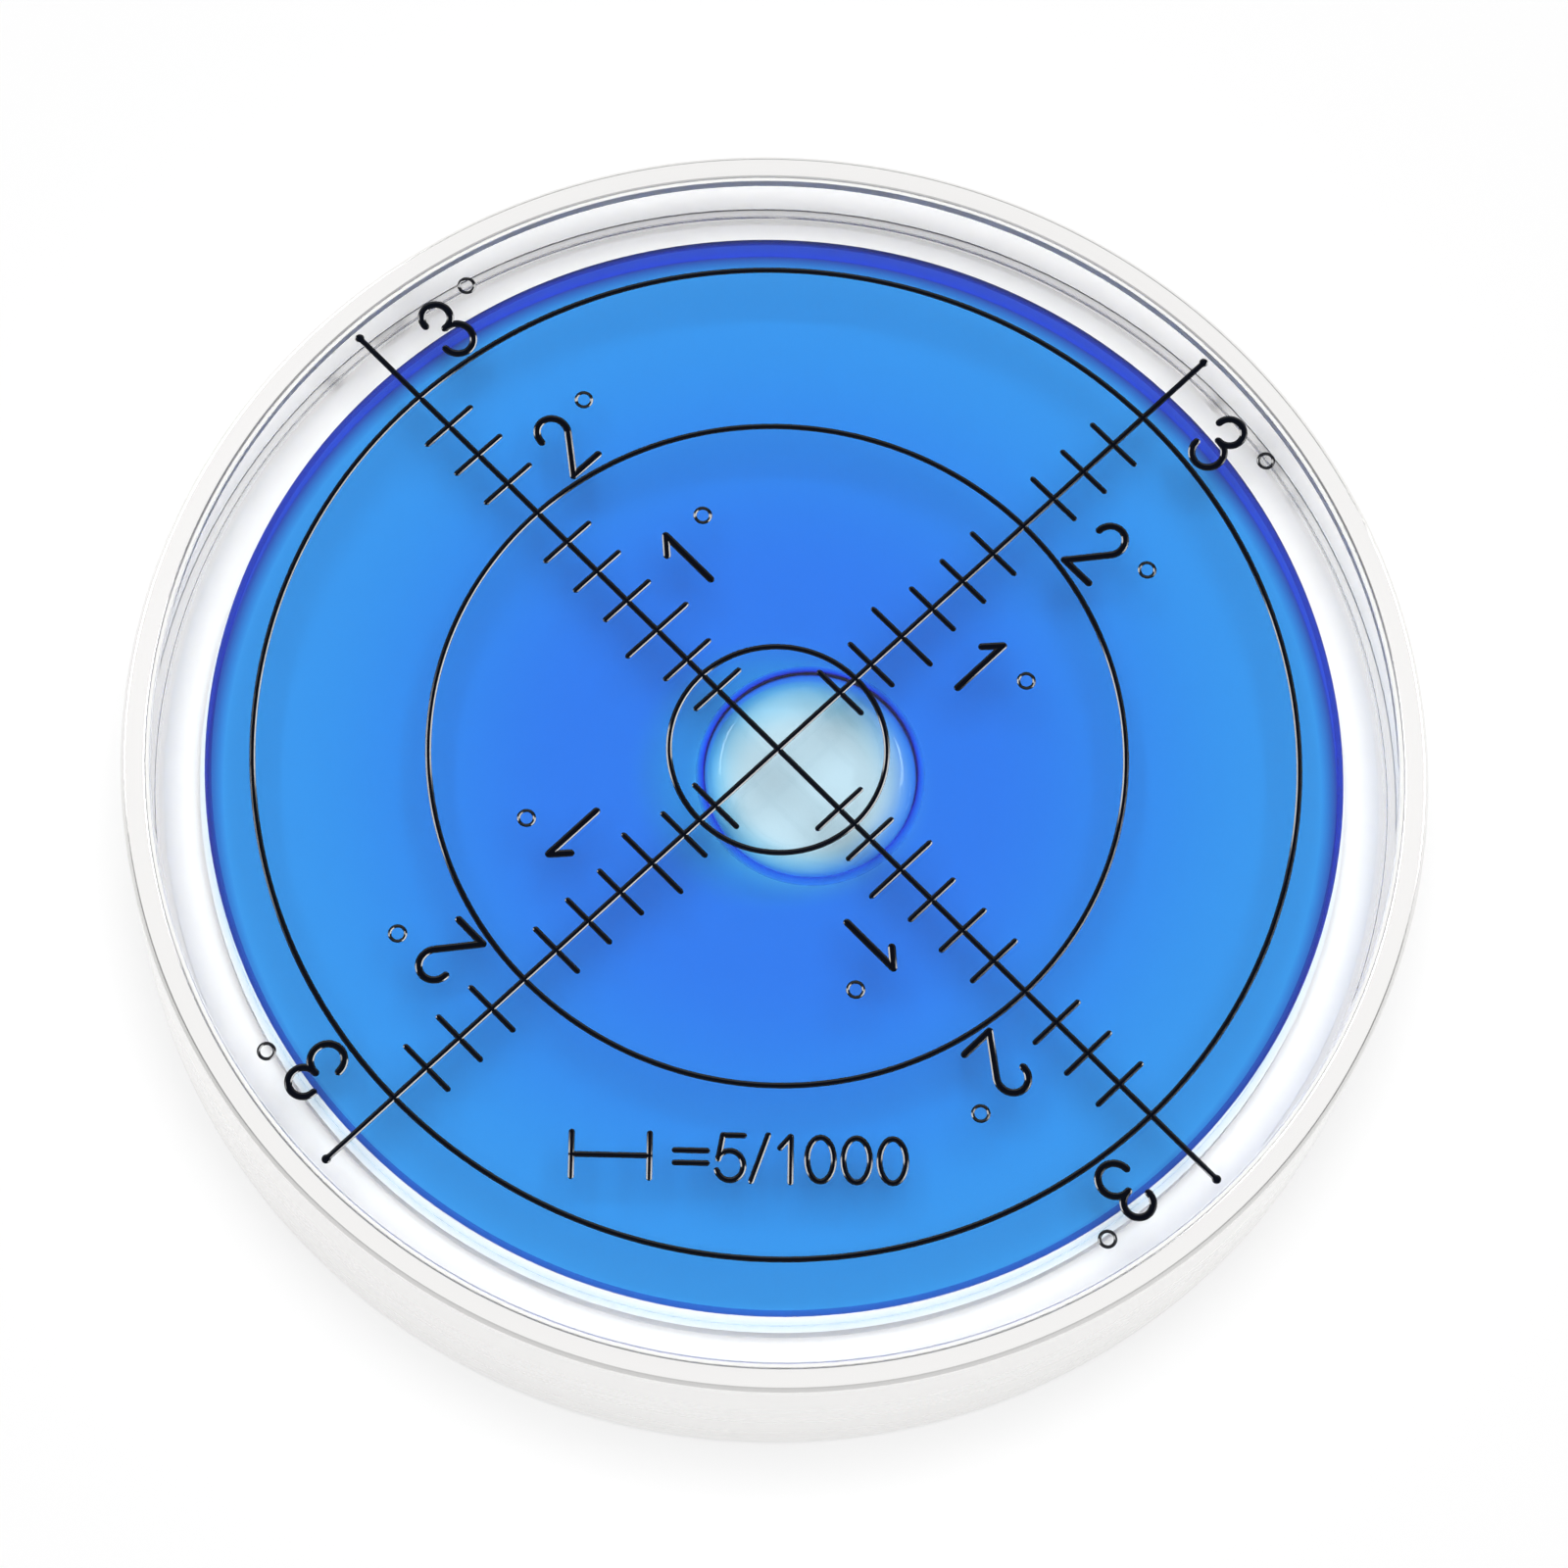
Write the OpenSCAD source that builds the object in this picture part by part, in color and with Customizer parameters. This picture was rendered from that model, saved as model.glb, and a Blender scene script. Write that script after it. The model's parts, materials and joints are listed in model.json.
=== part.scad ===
// Circular bubble level: a turned aluminium cup holds a sealed acrylic vial, filled with dyed liquid
// and one bubble, under an engraved scale. A disc magnet is let into the underside of the cup.
// Millimetres, +Z up. The origin is the centre of the base, on the surface that the level stands on.

/* [Scale] */
// Length of one division along the cross lines
division = 2; // [1.6:0.1:3]
// Divisions that the bubble crosses for one degree of tilt
divisions_per_degree = 4; // [3:1:6]
// Diameter of the ring that frames the centred bubble
bubble_ring_d = 10; // [8:0.5:11]
// Length of the short ticks
tick_short = 3; // [2:0.1:3.6]
// Length of the tick at the first whole degree
tick_long = 4; // [3:0.1:5]
// Width of the paint in an engraved line
line_w = 0.2; // [0.12:0.02:0.3]
// Depth of an engraved line below the face of the lens
line_depth = 0.14; // [0.1:0.02:0.3]
// Depth of the paint in an engraved line below the face of the lens
paint_recess = 0.04; // [0.02:0.01:0.08]
// Diameter of the dot that ends a cross line
end_dot_d = 0.4; // [0.3:0.05:0.6]
// Bare lens between an end dot and the bevel of the lens
end_dot_inset = 0.1; // [0.05:0.05:1]

/* [Vial] */
// Space between the last ring of the scale and the wall of the chamber
chamber_margin = 2.25; // [1:0.05:5]
// Thickness of the clear side wall
skirt_t = 2.45; // [1.5:0.05:5]
// Thickness of the lens at its centre, where it is thinnest
lens_t = 1.55; // [1:0.05:4]
// Bevel round the face of the lens
lens_bevel = 0.3; // [0.1:0.05:0.8]
// Thickness of the plate that closes the chamber
plate_t = 1.5; // [1.2:0.1:4]
// Width of the ledge that the plate seats on
plate_ledge = 0.35; // [0.2:0.05:1]
// Diameter of the filling hole in the plate
fill_hole_d = 2.4; // [1.5:0.1:4]
// Diameter of the head of the filling plug
fill_head_d = 4.2; // [3.8:0.1:7]
// Thickness of the head of the filling plug
fill_head_t = 0.6; // [0.4:0.1:1]
// Distance from the centre of the vial to the filling hole
fill_offset = 20; // [8:0.5:23]

/* [Bubble] */
// Diameter of the bubble
bubble_d = 10.6; // [8:0.1:13]
// Thickness of the bubble
bubble_t = 2.3; // [1.5:0.1:3.5]
// Liquid left under the bubble at the edge of the chamber
bubble_floor_gap = 0.4; // [0.3:0.1:2]
// Tilt in degrees that the stored bubble shows
rest_tilt = 0.21; // [0:0.01:1]
// Direction in degrees that the stored bubble has moved towards
rest_direction = -17; // [-180:1:180]

/* [Case] */
// Thickness of the cup's wall
wall_t = 1.15; // [0.8:0.05:3]
// Metal left between the magnet's pocket and the floor of the cup
web_t = 1.2; // [0.6:0.1:4]
// Bevel round the foot of the case
foot_bevel = 0.5; // [0.2:0.05:1]
// Bevel round the outer edge of the rim
rim_bevel = 0.2; // [0.1:0.05:0.4]
// Bevel round the inner edge of the rim
mouth_bevel = 0.1; // [0.05:0.05:0.3]
// Diameter of the air vent in the side wall
vent_d = 1.6; // [0.8:0.1:2.4]
// Metal between the floor of the cup and the lowest point of the vent
vent_sill = 0.4; // [0.2:0.1:2]
// Direction of the vent in degrees, counted from +X
vent_direction = 90; // [-180:1:180]

/* [Magnet] */
// Diameter of the disc magnet
magnet_d = 30; // [10:0.5:40]
// Thickness of the disc magnet
magnet_t = 3; // [1:0.1:6]
// Bevel of the magnet's plated edges
magnet_bevel = 0.15; // [0.05:0.05:0.5]
// Depth of the magnet's face above the surface that the level stands on
magnet_inset = 0.1; // [0.05:0.05:0.5]

/* [Fits] */
// Space between the vial and the wall of the cup
vial_gap = 0.15; // [0.05:0.05:0.4]
// Space between the magnet and the wall of its pocket
magnet_gap = 0.15; // [0.05:0.05:0.4]
// Thickness of the adhesive under the vial and over the magnet
bond_t = 0.1; // [0.05:0.05:0.5]
// Bare border round the adhesive
bond_border = 0.4; // [0.1:0.1:2]
// Bond line round the plate and round the filling plug
seam_gap = 0.04; // [0.02:0.01:0.1]
// Space between the liquid and the vial
liquid_gap = 0.05; // [0.02:0.01:0.1]
// Film of liquid between the bubble and the lens
bubble_film = 0.08; // [0.06:0.01:0.2]
// Space between the bubble and its pocket in the liquid
bubble_gap = 0.05; // [0.02:0.01:0.1]

/* [Hidden] */
$fn = 128;
dome_fn = 256;

// How far a cut runs past the face that it opens
past = 1;
// Whole degrees from the centre of the scale to its last ring
full_scale = 3;
// First division that has a tick
first_tick = 2;
// Directions of the four arms of the cross
arm_directions = [45, 135, 225, 315];

// Radii, from the scale outwards to the case
function degree_r(degrees) = degrees * divisions_per_degree * division;
chamber_r = degree_r(full_scale) + chamber_margin;
plate_seat_r = chamber_r + plate_ledge;
vial_r = chamber_r + skirt_t;
cup_r = vial_r + vial_gap;
case_r = cup_r + wall_t;
pocket_r = magnet_d / 2 + magnet_gap;
arm_r = vial_r - lens_bevel - end_dot_inset - end_dot_d / 2;

// The lens is hollow to the radius at which one degree of tilt carries the bubble one degree along the scale
dome_r = degree_r(1) / sin(1);
dome_sag = dome_r - sqrt(pow(dome_r, 2) - pow(chamber_r, 2));

// Heights, from the base upwards
pocket_z = magnet_inset + magnet_t + bond_t;
cup_z = pocket_z + web_t;
vial_z = cup_z + bond_t;
chamber_z = vial_z + plate_t;
apex_z = chamber_z + bubble_floor_gap + bubble_t + dome_sag;
dome_z = apex_z - dome_r;
face_z = apex_z + lens_t;
vent_z = cup_z + vent_sill + vent_d / 2;

// The divisions that have a tick: each one up to the last ring, apart from those on a ring
tick_divisions = [for (i = [first_tick : full_scale * divisions_per_degree - 1])
    if (i % divisions_per_degree != 0 || i == divisions_per_degree) i];

function tick_length(i) = i == divisions_per_degree ? tick_long : tick_short;

// Half of an upright section, from the axis out to r, under the sphere of the lens lowered by drop
module under_dome(r, from_z, drop) {
    intersection() {
        translate([0, from_z])
            square([r, apex_z - from_z]);
        translate([0, dome_z])
            circle(dome_r - drop, $fn = dome_fn);
    }
}

// Half of the bubble's section, grown by grow: flat above and below, with a round edge
module bubble_section(grow) {
    edge_r = bubble_t / 2 + grow;
    middle_z = apex_z - bubble_film - bubble_t / 2;
    translate([0, middle_z - edge_r])
        square([(bubble_d - bubble_t) / 2, 2 * edge_r]);
    intersection() {
        translate([(bubble_d - bubble_t) / 2, middle_z])
            circle(edge_r);
        translate([0, middle_z - edge_r])
            square([bubble_d, 2 * edge_r]);
    }
}

// Rolls a piece along the lens to where the stored bubble lies
module at_rest_tilt() {
    translate([0, 0, dome_z])
        rotate([0, 0, rest_direction])
            rotate([0, rest_tilt, 0])
                rotate([0, 0, -rest_direction])
                    translate([0, 0, -dome_z])
                        children();
}

// Section of an engraved line, centred on its own axis with the face of the lens at 0
module line_section(from, to) {
    translate([-line_w / 2, from])
        square([line_w, to - from]);
}

// Section of the groove that a line is cut with
module groove_section() {
    line_section(-line_depth, past);
}

// Section of the paint in an engraved line
module paint_section() {
    line_section(-line_depth, -paint_recess);
}

// Section that clears all the paint in the way of a line
module clearing_section() {
    line_section(-line_depth - past, past);
}

// A straight line on the face of the lens, centred and along X, with the section given
module straight_line(length) {
    translate([-length / 2, 0, face_z])
        rotate([90, 0, 90])
            linear_extrude(length)
                children();
}

// A round line on the face of the lens, with the section given
module ring_line(r) {
    translate([0, 0, face_z])
        rotate_extrude()
            translate([r, 0])
                children();
}

// The two cross lines
module cross_bars() {
    for (direction = [arm_directions[0], arm_directions[1]])
        rotate(direction)
            straight_line(2 * arm_r)
                children();
}

// The dots at the ends of the cross lines, from the floor of the line up to top
module end_dots(top) {
    for (direction = arm_directions)
        rotate(direction)
            translate([arm_r, 0, face_z - line_depth])
                cylinder(d = end_dot_d, h = line_depth + top);
}

// The ticks across the four arms
module tick_bars() {
    for (direction = arm_directions, i = tick_divisions)
        rotate(direction)
            translate([i * division, 0, 0])
                rotate(90)
                    straight_line(tick_length(i))
                        children();
}

// The paint of one ring, which the cross lines and the ticks run through
module painted_ring(r) {
    color("black")
        difference() {
            ring_line(r)
                paint_section();
            cross_bars()
                clearing_section();
            tick_bars()
                clearing_section();
        }
}

// The filling hole or its plug, with its head let into the underside of the plate.
// The hole is the plug grown by grow, run past both faces of the plate by over.
module fill_form(grow, over) {
    translate([0, fill_offset, vial_z - over]) {
        cylinder(d = fill_hole_d + 2 * grow, h = plate_t + 2 * over);
        cylinder(d = fill_head_d + 2 * grow, h = fill_head_t + grow + over);
    }
}

module case() {
    color("gainsboro")
        difference() {
            rotate_extrude()
                polygon([
                    [0, pocket_z],
                    [pocket_r, pocket_z],
                    [pocket_r, 0],
                    [case_r - foot_bevel, 0],
                    [case_r, foot_bevel],
                    [case_r, face_z - rim_bevel],
                    [case_r - rim_bevel, face_z],
                    [cup_r + mouth_bevel, face_z],
                    [cup_r, face_z - mouth_bevel],
                    [cup_r, cup_z],
                    [0, cup_z]
                ]);
            rotate(vent_direction)
                translate([cup_r - past, 0, vent_z])
                    rotate([0, 90, 0])
                        cylinder(d = vent_d, h = wall_t + 2 * past);
        }
}

module magnet() {
    color("tan")
        translate([0, 0, magnet_inset])
            rotate_extrude()
                polygon([
                    [0, 0],
                    [magnet_d / 2 - magnet_bevel, 0],
                    [magnet_d / 2, magnet_bevel],
                    [magnet_d / 2, magnet_t - magnet_bevel],
                    [magnet_d / 2 - magnet_bevel, magnet_t],
                    [0, magnet_t]
                ]);
}

module magnet_adhesive() {
    color("khaki")
        translate([0, 0, magnet_inset + magnet_t])
            cylinder(r = magnet_d / 2 - bond_border, h = bond_t);
}

module vial_adhesive() {
    color("white")
        translate([0, 0, cup_z])
            cylinder(r = vial_r - bond_border, h = bond_t);
}

module vial_lens() {
    color("azure")
        difference() {
            rotate_extrude()
                difference() {
                    polygon([
                        [0, vial_z],
                        [vial_r, vial_z],
                        [vial_r, face_z - lens_bevel],
                        [vial_r - lens_bevel, face_z],
                        [0, face_z]
                    ]);
                    translate([0, vial_z - past])
                        square([plate_seat_r, plate_t + past]);
                    under_dome(chamber_r, vial_z, 0);
                }
            cross_bars()
                groove_section();
            tick_bars()
                groove_section();
            end_dots(past);
            for (r = [bubble_ring_d / 2, degree_r(2), degree_r(full_scale)])
                ring_line(r)
                    groove_section();
        }
}

module vial_plate() {
    color("white")
        difference() {
            translate([0, 0, vial_z])
                cylinder(r = plate_seat_r - seam_gap, h = plate_t);
            fill_form(seam_gap, past);
        }
}

module fill_plug() {
    color("snow")
        fill_form(0, 0);
}

module liquid() {
    color("dodgerblue", 0.6)
        difference() {
            rotate_extrude()
                under_dome(chamber_r - liquid_gap, chamber_z + liquid_gap, liquid_gap);
            at_rest_tilt()
                rotate_extrude()
                    bubble_section(bubble_gap);
        }
}

module bubble() {
    color("lightcyan", 0.6)
        at_rest_tilt()
            rotate_extrude()
                bubble_section(0);
}

module cross_lines() {
    color("black") {
        cross_bars()
            paint_section();
        end_dots(-paint_recess);
    }
}

module division_ticks() {
    color("black")
        difference() {
            tick_bars()
                paint_section();
            cross_bars()
                clearing_section();
        }
}

module bubble_ring() {
    painted_ring(bubble_ring_d / 2);
}

module two_degree_ring() {
    painted_ring(degree_r(2));
}

module three_degree_ring() {
    painted_ring(degree_r(full_scale));
}

case();
magnet();
magnet_adhesive();
vial_adhesive();
vial_lens();
vial_plate();
fill_plug();
liquid();
bubble();
cross_lines();
division_ticks();
bubble_ring();
two_degree_ring();
three_degree_ring();
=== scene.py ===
"""Circular bubble level: the finished surfaces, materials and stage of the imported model."""
import json
import math
from functools import partial

import bmesh
import bpy
from bpy.props import FloatProperty, FloatVectorProperty, IntProperty, PointerProperty
from mathutils import Matrix, Vector
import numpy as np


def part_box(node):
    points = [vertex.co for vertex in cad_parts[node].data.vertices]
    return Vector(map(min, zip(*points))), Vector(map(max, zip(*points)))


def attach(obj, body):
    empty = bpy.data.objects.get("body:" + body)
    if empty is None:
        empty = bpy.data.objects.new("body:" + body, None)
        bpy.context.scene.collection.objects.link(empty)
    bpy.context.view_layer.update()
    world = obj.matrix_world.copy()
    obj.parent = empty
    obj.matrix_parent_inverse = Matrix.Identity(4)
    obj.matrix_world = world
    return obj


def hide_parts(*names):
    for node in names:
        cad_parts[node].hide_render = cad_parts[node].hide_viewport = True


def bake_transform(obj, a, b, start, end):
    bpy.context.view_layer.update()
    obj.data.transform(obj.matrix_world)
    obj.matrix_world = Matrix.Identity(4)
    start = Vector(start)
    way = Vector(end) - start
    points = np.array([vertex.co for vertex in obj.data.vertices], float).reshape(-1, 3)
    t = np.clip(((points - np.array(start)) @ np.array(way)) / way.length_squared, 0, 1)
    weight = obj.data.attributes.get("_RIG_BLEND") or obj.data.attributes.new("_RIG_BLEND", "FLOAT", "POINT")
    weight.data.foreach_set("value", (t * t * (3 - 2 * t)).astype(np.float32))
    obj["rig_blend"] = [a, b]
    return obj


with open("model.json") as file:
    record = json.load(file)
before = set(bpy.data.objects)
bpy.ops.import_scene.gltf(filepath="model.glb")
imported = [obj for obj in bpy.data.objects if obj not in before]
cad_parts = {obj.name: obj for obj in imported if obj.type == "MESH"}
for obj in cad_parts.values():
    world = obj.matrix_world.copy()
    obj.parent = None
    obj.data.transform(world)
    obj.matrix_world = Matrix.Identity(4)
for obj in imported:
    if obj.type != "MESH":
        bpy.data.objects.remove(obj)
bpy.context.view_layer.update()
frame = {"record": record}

bl_info = {
    "name": "Circular bubble level",
    "version": (1, 0, 0),
    "blender": (4, 5, 0),
    "location": "3D View > Sidebar > Bubble level",
    "description": "Dresses the packed circular bubble level and sets its stage",
    "category": "Object",
}

MM = 0.001

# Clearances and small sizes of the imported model, which its boxes alone don't tell
VIAL_GAP = 0.15 * MM
MAGNET_GAP = 0.15 * MM
LIQUID_GAP = 0.05 * MM
BUBBLE_FILM = 0.08 * MM
CAD_LINE = 0.2 * MM
CAD_DOT = 0.4 * MM
PLUG_SHAFT = 2.4 * MM
PLUG_HEAD = 0.6 * MM

# How far one clear or painted body reaches into the next, so that no air shows between them
CONTACT = 0.002 * MM
BOND = 0.02 * MM

# Segments of the turned pieces, holes and signs, and steps of their arcs
TURNED_SIDES = 256
BUBBLE_SIDES = 96
VENT_SIDES = 48
PLUG_SIDES = 64
SIGN_SIDES = 32
DOME_STEPS = 24
CROWN_STEPS = 8
SHOULDER_STEPS = 15
ROUND_STEPS = 6
ARC_STEP = math.radians(9)

# Lengths below this are nothing
TINY = 1e-9

# Where the point before and after a rounded corner lies, as a share of the corner's reach
ROUND_LEAD = 1.2

# Turns of the engraving tool's round tip at the ends of a stroke, from its far end inwards
TIP_TURNS = [math.radians(a) for a in (78, 52, 26)]

# Arms of the cross, and the direction of the first
ARMS = 4
FIRST_ARM = math.pi / 4

# Refractive indices of the clear bodies
ACRYLIC_INDEX = 1.49
SPIRIT_INDEX = 1.36

# Roughness of acrylic as the lathe leaves it, and how far down its bevel counts as such
SATIN = 0.45
BEVEL_REACH = 1.2

# Faces of the paint whose normal rises less than this are its sloped lips, and of the lens, its walls
LIP_SLOPE = 0.95
WALL_SLOPE = 0.5

# Strength of the painted shade in the seam at the top of the chamber, against that in its wall
SEAM_PAINTED_SHADE = 0.8

# Edges that turn more than this stay crisp
CRISP_ANGLE = math.radians(20)

# Sizes of the patterns of the finishes. The tool's real feed is about 0.08 mm, drawn at twice that to show.
TOOL_FEED = 0.16 * MM
TOOL_BAND = 1.5 * MM
SINTER_GRAIN = 0.35 * MM
SINTER_CLOUD = 6 * MM
WIPE_MARK = 0.3 * MM
OPAL_GRAIN = 2.5 * MM
ADHESIVE_GRAIN = 1.2 * MM
EPOXY_GRAIN = 0.8 * MM
METAL_RELIEF = 0.006 * MM
MOTTLE_RELIEF = 0.01 * MM

# Radii over which the painted shade of the opal plate comes, and those over which it goes again
SHADE_IN = (4.5 * MM, 7 * MM)
SHADE_OUT = (9 * MM, 22 * MM)

WHITE = (1.0, 1.0, 1.0, 1.0)
# Tint of the shine of the polished lens, which keeps the lamps from washing out its face
LENS_SHINE = (0.7, 0.7, 0.7, 1.0)


def outer_radius(node):
    """Largest radius of a round CAD node that is centred on the axis."""
    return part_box(node)[1].x


def foot(node):
    """Lowest height of a CAD node."""
    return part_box(node)[0].z


def top(node):
    """Highest height of a CAD node."""
    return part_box(node)[1].z


def linear_colour(code):
    """An sRGB hex colour as linear red, green and blue."""
    shares = [int(code[i:i + 2], 16) / 255 for i in (1, 3, 5)]
    return tuple(s / 12.92 if s <= 0.04045 else ((s + 0.055) / 1.055) ** 2.4 for s in shares)


def length(name, default, description):
    """A size property, shown in the scene's units."""
    return FloatProperty(name=name, description=description, default=default, min=min(default, 0.0),
                         unit="LENGTH", precision=5)


def count(name, default, description):
    """A whole number property."""
    return IntProperty(name=name, description=description, default=default, min=1)


def colour(name, code, description):
    """A colour property, from an sRGB hex colour."""
    return FloatVectorProperty(name=name, description=description, default=linear_colour(code), size=3,
                               min=0, max=1, subtype="COLOR")


class BubbleLevelSizes(bpy.types.PropertyGroup):
    """Sizes of the level that a user would change."""

    foot_bevel: length("Foot bevel", 0.5 * MM, "Bevel round the foot of the case")
    rim_bevel: length("Rim bevel", 0.2 * MM, "Bevel round the outer edge of the rim")
    mouth_bevel: length("Mouth bevel", 0.1 * MM, "Bevel round the inner edge of the rim")
    edge_round: length("Edge rounding", 0.06 * MM, "Rounding that the turning leaves at each bevel")
    vent_d: length("Vent", 1.6 * MM, "Diameter of the air vent in the side wall")
    vent_z: length("Vent height", 5.6 * MM, "Height of the vent above the base")
    vent_chamfer: length("Vent chamfer", 0.12 * MM, "Chamfer round the mouth of the vent")
    lens_bevel: length("Lens bevel", 0.06 * MM, "Bevel round the face of the lens")
    division: length("Division", 2 * MM, "Length of one division along the cross lines")
    tick_short: length("Short tick", 3 * MM, "Length of the short ticks")
    tick_long: length("Long tick", 4 * MM, "Length of the tick at the first whole degree")
    groove_w: length("Groove width", 0.28 * MM, "Width of an engraved line at the face of the lens")
    groove_depth: length("Groove depth", 0.14 * MM, "Depth of an engraved line")
    paint_film: length("Paint film", 0.004 * MM, "Paint at the lips of an engraved line")
    paint_slope: length("Paint slope", 0.072 * MM, "Depth that the slopes of the paint would reach mid line")
    paint_floor: length("Paint floor", 0.035 * MM, "Depth of the flat middle of the paint below the face")
    dot_d: length("End dot", 0.44 * MM, "Diameter of the dot that ends a cross line")
    degree_w: length("Degree sign line", 0.16 * MM, "Width of the line of a degree sign")
    number_line: length("Number line", 0.36 * MM, "Width of the lines of the numbers")
    number_h: length("Number height", 2.9 * MM, "Height of the numbers of the degrees")
    number_w: length("Number width", 1.55 * MM, "Width of the numbers of the degrees")
    number_gap: length("Number gap", 2.5 * MM, "Space between a cross line and the number beside it")
    number_rise: length("Number rise", 0.2 * MM, "Space between a ring and the foot of its number")
    degree_d: length("Degree sign", 0.72 * MM, "Diameter of the degree sign")
    degree_offset: length("Degree sign offset", 5.5 * MM, "Distance from a cross line to the degree sign")
    degree_rise: length("Degree sign rise", 2.65 * MM, "Height of the degree sign above its ring")
    legend_h: length("Legend height", 2.05 * MM, "Height of the legend")
    legend_x: length("Legend start", -9.0 * MM, "Where the legend starts, along X")
    legend_y: length("Legend place", 20.4 * MM, "Distance from the centre to the foot of the legend")
    bubble_depth: length("Bubble depth", 2.6 * MM, "Thickness of the bubble")
    bubble_flat: length("Bubble flat", 3.2 * MM, "Radius of the nearly flat underside of the bubble")
    bubble_side: length("Bubble side", 0.45 * MM, "Height of the upright side under the waist of the bubble")
    bubble_waist: length("Bubble waist", 1.5 * MM, "Depth of the widest part of the bubble below its crown")
    bubble_shoulder: length("Bubble shoulder", 1.7 * MM, "Width of the round shoulder of the bubble")
    dye_depth: length("Dye depth", 3.05 * MM, "Depth of the liquid below the lens, down to the plate at most")
    # Painted shade: the seam at the top of the chamber is drawn darker and bluer over this width
    seep_w: length("Seep width", 0.3 * MM, "Width of the dyed seam at the top of the chamber")
    # Painted shade: the plate is drawn darker and bluer in its corner along the chamber's wall, over this
    # reach
    seep_reach: length("Seep reach", 0.75 * MM, "How far dye has crept along the plate from the wall")
    bead_height: length("Bead height", 0.9 * MM, "Height of the adhesive round the vial")
    bead_depth: length("Bead depth", 0.1 * MM, "Depth of that adhesive below the face of the lens")
    magnet_bevel: length("Magnet bevel", 0.15 * MM, "Bevel round the edges of the magnet")
    first_tick: count("First tick", 2, "First division that has a tick")
    degree_divisions: count("Divisions", 4, "Divisions in one degree")
    degrees: count("Degrees", 3, "Whole degrees on the scale")


class BubbleLevelFinishes(bpy.types.PropertyGroup):
    """Colours of the level that a user would change."""

    aluminium: colour("Aluminium", "#F6F5F4", "Turned aluminium of the case")
    nickel: colour("Nickel", "#B8AE98", "Nickel plate of the magnet")
    spirit: colour("Spirit", "#00DBFD", "What the dyed liquid lets through")
    spirit_density: FloatProperty(name="Dye", description="Strength of the dye, per metre", default=660,
                                  min=0)
    paint: colour("Line paint", "#050812", "Paint in the engraved lines")
    opal: colour("Opal acrylic", "#FBFBFC", "White plate under the liquid")
    # Painted shade: a darker, bluer tint of the plate round its middle
    opal_shade: colour("Opal shade", "#DDD4FF", "Tint of that plate round its middle, under most dye")
    # Painted shade: a dark blue tint of the chamber's wall, drawn where less light reaches
    stain: colour("Stain", "#0616BE", "What the dye has left in the wall of the chamber")
    # Painted shade: a darker, bluer tint of the plate in its corner along the chamber's wall
    seep: colour("Seep", "#6C59B3", "Tint of the plate where dye has crept into its seam with the lens")
    adhesive: colour("Adhesive", "#F3F3F1", "White adhesive under the vial")
    epoxy: colour("Epoxy", "#CDBE8E", "Film of glue over the magnet")
    floor: colour("Floor", "#F6F6F6", "Floor of the stage")


def settings(context):
    """The sizes and the finishes that the user has set."""
    return context.scene.bubble_level_sizes, context.scene.bubble_level_finishes


# Nodes and materials

def add_node(tree, kind, inputs=None, **own):
    """Adds a node with its settings. An input is a value, a socket or a node, linked by its first output."""
    node = tree.nodes.new(kind)
    for name, value in own.items():
        setattr(node, name, value)
    for name, value in (inputs or {}).items():
        if isinstance(value, bpy.types.Node):
            value = next(socket for socket in value.outputs if socket.enabled)
        if isinstance(value, bpy.types.NodeSocket):
            tree.links.new(value, node.inputs[name])
        else:
            node.inputs[name].default_value = value
    return node


def made_of(finish, *given):
    """A material that has the name of a finish below and takes the shaders that it gives to its output."""
    material = bpy.data.materials.new(finish.__name__)
    material.use_nodes = True
    material.node_tree.nodes.clear()
    add = partial(add_node, material.node_tree)
    add("ShaderNodeOutputMaterial", finish(add, *given))
    return material


def rgba(value):
    """A colour property as the four numbers that a socket takes."""
    return (*value, 1.0)


def from_axis(add):
    """Place on a piece, and its distance from the axis, in metres."""
    place = add("ShaderNodeTexCoord").outputs["Object"]
    flat = add("ShaderNodeVectorMath", {0: place, 1: (1, 1, 0)}, operation="MULTIPLY")
    return place, add("ShaderNodeVectorMath", {0: flat}, operation="LENGTH")


def tinted(add, share, value):
    """White that takes on a colour as share rises from 0 to 1."""
    white = Vector((1, 1, 1))
    return add("ShaderNodeVectorMath", {0: share, 1: Vector(value) - white, 2: white},
               operation="MULTIPLY_ADD")


def turned_aluminium(add, finishes):
    """Bare aluminium from the lathe: pale, with fine tool rings that draw highlights out across them."""
    place, radius = from_axis(add)
    height = add("ShaderNodeSeparateXYZ", {"Vector": place}).outputs["Z"]
    path = add("ShaderNodeCombineXYZ", {"X": radius, "Y": height})
    feed, bands = [add("ShaderNodeTexNoise", {"Vector": path, "Scale": 1 / size, "Detail": detail},
                       noise_dimensions="2D") for size, detail in ((TOOL_FEED, 2.0), (TOOL_BAND, 3.0))]
    bump = add("ShaderNodeBump", {"Height": feed, "Strength": 0.5, "Distance": METAL_RELIEF})
    roughness = add("ShaderNodeMapRange", {"Value": bands, "To Min": 0.2, "To Max": 0.36})
    tangent = add("ShaderNodeTangent", direction_type="RADIAL", axis="Z")
    shader = add("ShaderNodeBsdfPrincipled", {
        "Base Color": rgba(finishes.aluminium), "Metallic": 1.0, "Roughness": roughness, "Anisotropic": 0.6,
        "Anisotropic Rotation": 0.25, "Tangent": tangent, "Normal": bump})
    return {"Surface": shader}


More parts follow.
